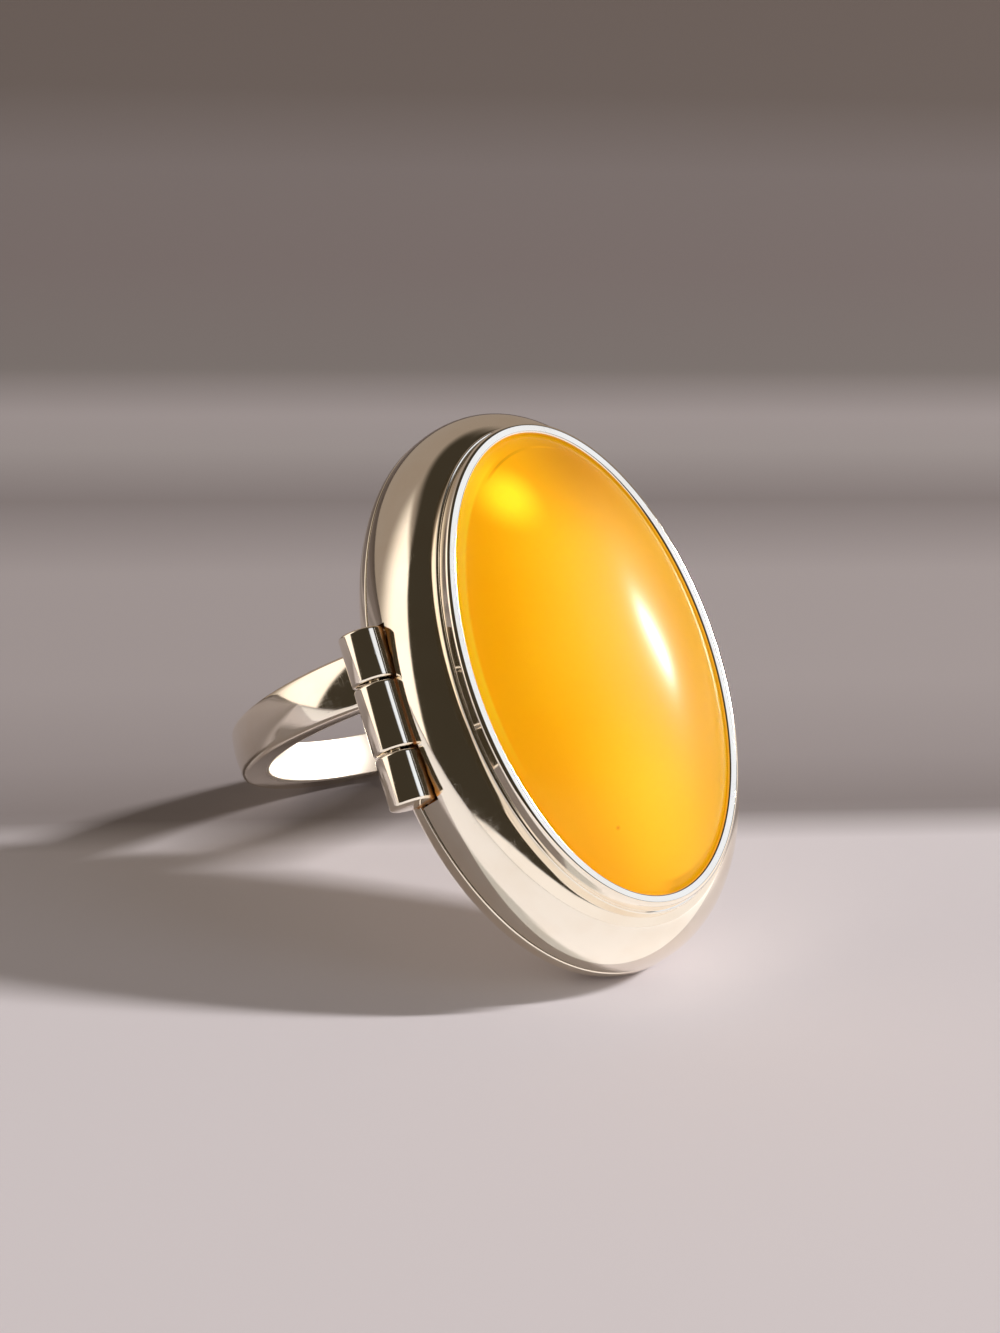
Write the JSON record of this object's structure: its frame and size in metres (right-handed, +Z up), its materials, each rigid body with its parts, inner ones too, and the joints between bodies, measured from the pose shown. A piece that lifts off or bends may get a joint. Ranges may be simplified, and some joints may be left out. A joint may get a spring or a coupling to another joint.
{
  "type": "locket ring",
  "caption": "Plain finger ring with a shallow oval case, closed by a hinged domed lid that carries a large oval cabochon in a plain bezel.",
  "frame": {"origin": "middle of the standing ring's box, at the floor that it rests on", "axes": "+Z up, +X across the finger and away from the hinge, the face of the head turned to -Y and 50 degrees back from facing straight up"},
  "size_m": [0.0214, 0.0314, 0.0248],
  "materials": {
    "silver": "polished silver, a warm white metal",
    "cabochon": "polished, translucent milky yellow-orange"
  },
  "bodies": {
    "base": {"base": "silver", "hinge_pin": "silver"},
    "lid": {"lid": "silver", "stone": "cabochon"}
  },
  "joints": [
    {"name": "lid_hinge", "type": "hinge", "parent": "base", "child": "lid", "pos_m": [-0.0096, -0.00414, 0.0123], "axis": [0, -0.6425, -0.7663], "range_deg": [0, 100]}
  ]
}
